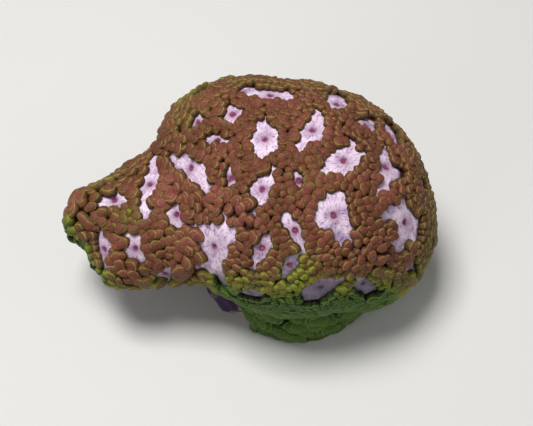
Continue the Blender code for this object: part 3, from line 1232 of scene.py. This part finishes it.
def lump_finish():
    f = Finish("swollen_flesh")
    place = f.object_place()
    over, tip, tint = f.parts("lump")
    green, _, swollen = f.parts("zone")
    colour = flesh_base(f, place, tint, green + over.rise(*EDGE) * EDGE_GREEN, swollen)
    # Painted shade: the lower flank of a green lump darkens to deep green
    colour = f.blend(over.rise(*DEEP_SHADE_FLANK) * green.rise(*DEEP_SHADE_ON_GREEN) * DEEP_SHADE_SHARE, colour, DEEP_GREEN_SHADE)
    # The bright line: pale edge flesh with a painted glow
    colour = f.blend(rim_line_and_glow(f, place, over, tip, swollen), colour, RIM_TINT_AND_GLOW)
    # Painted shade: each lump's flank darkens into its crease
    colour = f.blend(over.rise(*CREASE_SHADE_EDGE) * CREASE_SHADE_SHARE, colour, CREASE_SHADE_AND_DARK_GRAIN)
    grain = f.noise(place, GRAIN, 3.0)
    colour = f.blend(grain.rise(*LIGHT_GRAIN) * LIGHT_SHARE, colour, RIM_TINT_AND_GLOW)
    colour = f.blend((1 - grain).rise(*DARK_GRAIN) * DARK_SHARE, colour, CREASE_SHADE_AND_DARK_GRAIN)
    wet(f, colour, FLESH_ROUGHNESS + grain * GRAIN_ROUGHER, grain, FLESH_DEPTH)
    return f.material


flesh = lump_finish()
print(flesh.name, "nodes:", len(flesh.node_tree.nodes))

# %% [markdown]
# The body shows as flesh darkened with painted shade in the gaps between lumps, as a pale disc with
# uneven purple streaks and a magenta mouth at each polyp, greyed with painted shade where the flesh
# is green, and as dead skeleton with purple crust where the flesh ends.

# %% The finish of the body
LILAC = rgb(234, 212, 230)
STRIPE = rgb(138, 82, 140)
SHADE = rgb(120, 92, 138)
# Painted shade that greys the discs where the flesh is green
DISC_SHADE_GREY = rgb(104, 98, 116)
MOUTH = rgb(128, 52, 98)
MOUTH_PIT = rgb(170, 96, 104)
CRUST = rgb(66, 44, 76)
BONE = rgb(168, 154, 132)
DISC_EDGE = (1.45, 1.8)
# Streaks fan out round the mouth: how many there are, how long, and their scale
FAN_TURNS = 3.2
FAN_REACH = 0.5
STREAKS = 2.2
STREAK_ROUGHNESS = 0.65
CLOUDS = 700.0
BLOTCHES = 300.0
# Where each shade of the disc starts and is complete, and how far it goes
STREAK_EDGE = (0.48, 0.66)
STREAK_SHARE = 0.65
CLOUD_EDGE = (0.48, 0.68)
CLOUD_SHARE = 0.45
BLOTCH_EDGE = (0.52, 0.75)
BLOTCH_SHARE = 0.6
# Distances from the mouth, in mm, over which each colour fades out
GLOW_RING = (0.4, 1.9)
MOUTH_RING = (0.3, 0.8)
PIT_RING = (0.02, 0.26)
RING_WANDER = 1.1
GLOW_SHARE = 0.4
TO_DISC_SHADE = (0.22, 0.65)
DISC_SHADE_SHARE = 0.8
# The dead skeleton, and the bump of the whole body
CRUST_PATCHES = 260.0
TO_BONE = (0.42, 0.56)
# Painted shade in the gaps between lumps
GAP_SHADE = 0.8
SKIN_GRAIN = 2600.0
SKIN_BUMP = 0.6
STREAK_BUMP = 2.4
PITS = 1200.0
PIT_ROUGHNESS = 0.7
PIT_BUMP = 3.0
BODY_DEPTH = 0.00012
BODY_ROUGHNESS = 0.42
ROCK_ROUGHER = 0.35


def disc_colour(f, place, along, aside):
    """A disc's colour and its streaks, by the place in its own plane, counted from the mouth."""
    reach = (along * along + aside * aside) ** 0.5
    turn = along.math("ARCTAN2", aside, along)
    fan = {0: turn * FAN_TURNS, 1: reach * FAN_REACH}
    fan_place = f.node("ShaderNodeCombineXYZ", {}, fan).outputs[0]
    streaks = f.noise(fan_place, STREAKS, 4.0, STREAK_ROUGHNESS)
    cloud = f.noise(place, CLOUDS, 4.0)
    striped = streaks.rise(*STREAK_EDGE) * STREAK_SHARE + cloud.rise(*CLOUD_EDGE) * CLOUD_SHARE
    colour = f.blend(striped, LILAC, STRIPE)
    colour = f.blend(f.noise(place, BLOTCHES).rise(*BLOTCH_EDGE) * BLOTCH_SHARE, colour, SHADE)
    ring = reach + (cloud - 0.5) * RING_WANDER
    colour = f.blend((1 - ring.rise(*GLOW_RING)) * GLOW_SHARE, colour, MOUTH)
    colour = f.blend(1 - ring.rise(*MOUTH_RING), colour, MOUTH)
    return f.blend(1 - ring.rise(*PIT_RING), colour, MOUTH_PIT), streaks


def body_finish():
    f = Finish("discs_and_skeleton")
    place = f.object_place()
    along, aside, oval = f.parts("disc")
    green, bare, swollen = f.parts("zone")
    disc, streaks = disc_colour(f, place, along, aside)
    # Painted shade: discs turn grey where the flesh is green
    disc = f.blend(green.rise(*TO_DISC_SHADE) * DISC_SHADE_SHARE, disc, DISC_SHADE_GREY)
    on_disc = 1 - oval.rise(*DISC_EDGE)
    rock = f.blend(f.noise(place, CRUST_PATCHES, 4.0).rise(*TO_BONE), CRUST, BONE)
    # Painted shade: the flesh in the gaps between lumps darkens
    colour = f.blend(GAP_SHADE, flesh_base(f, place, 0.5, green, swollen), CREASE_SHADE_AND_DARK_GRAIN)
    colour = f.blend(on_disc, colour, disc)
    colour = f.blend(bare, colour, rock)
    grain = f.noise(place, SKIN_GRAIN, 3.0) * SKIN_BUMP + streaks * on_disc * STREAK_BUMP
    pitted = f.noise(place, PITS, 4.0, PIT_ROUGHNESS) * bare * PIT_BUMP
    wet(f, colour, BODY_ROUGHNESS + bare * ROCK_ROUGHER, grain + pitted, BODY_DEPTH)
    return f.material


body.data.materials.append(body_finish())
print(body.active_material.name, "nodes:", len(body.active_material.node_tree.nodes))

# %% Dress the pieces and hand them to the frame
for piece in living:
    if piece is not body:
        piece.data.materials.append(flesh)
    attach(piece, "root")
    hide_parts("coral_head")
print(len(living), "pieces replace the packed head")

# %% [markdown]
# The stage is a plain pale floor under soft studio light: a broad lamp overhead, as in the
# photograph, a weaker one from the front so that the undercut can be read, and a pale sky.

# %% Floor and light
FLOOR_SIZE = 3.0
FLOOR_COLOUR = rgb(214, 212, 208)
FLOOR_ROUGHNESS = 0.85
SKY_COLOUR = (0.9, 0.92, 1.0, 1.0)
SKY_STRENGTH = 0.18
LAMPS_AIM = Vector((0.0, 0.0, 0.02))
# Where each lamp hangs, how wide it is, and its power
LAMPS = {
    "overhead": ((-0.08, 0.02, 0.45), 0.16, 2.1),
    "front_left": ((-0.35, -0.40, 0.30), 0.30, 0.45),
    "right_fill": ((0.45, -0.10, 0.25), 0.35, 0.3),
}


def make_floor():
    bm = bmesh.new()
    bmesh.ops.create_grid(bm, x_segments=1, y_segments=1, size=FLOOR_SIZE / 2)
    mesh = bpy.data.meshes.new("floor")
    bm.to_mesh(mesh)
    bm.free()
    floor = add_object("floor", mesh)
    f = Finish("pale_floor")
    f.shader.inputs["Base Color"].default_value = FLOOR_COLOUR
    f.shader.inputs["Roughness"].default_value = FLOOR_ROUGHNESS
    mesh.materials.append(f.material)


def make_lamp(name, place, size, power):
    data = bpy.data.lights.new(name, "AREA")
    data.size = size
    data.energy = power
    lamp = add_object(name, data)
    lamp.location = place
    lamp.rotation_euler = (LAMPS_AIM - Vector(place)).to_track_quat("-Z", "Y").to_euler()


def make_sky():
    world = bpy.data.worlds.new("studio")
    world.use_nodes = True
    background = world.node_tree.nodes["Background"]
    background.inputs["Color"].default_value = SKY_COLOUR
    background.inputs["Strength"].default_value = SKY_STRENGTH
    bpy.context.scene.world = world


make_floor()
for name, (place, size, power) in LAMPS.items():
    make_lamp(name, place, size, power)
make_sky()
bpy.context.scene.view_settings.view_transform = "Standard"
print(len(LAMPS), "lamps over a floor", FLOOR_SIZE, "m wide")
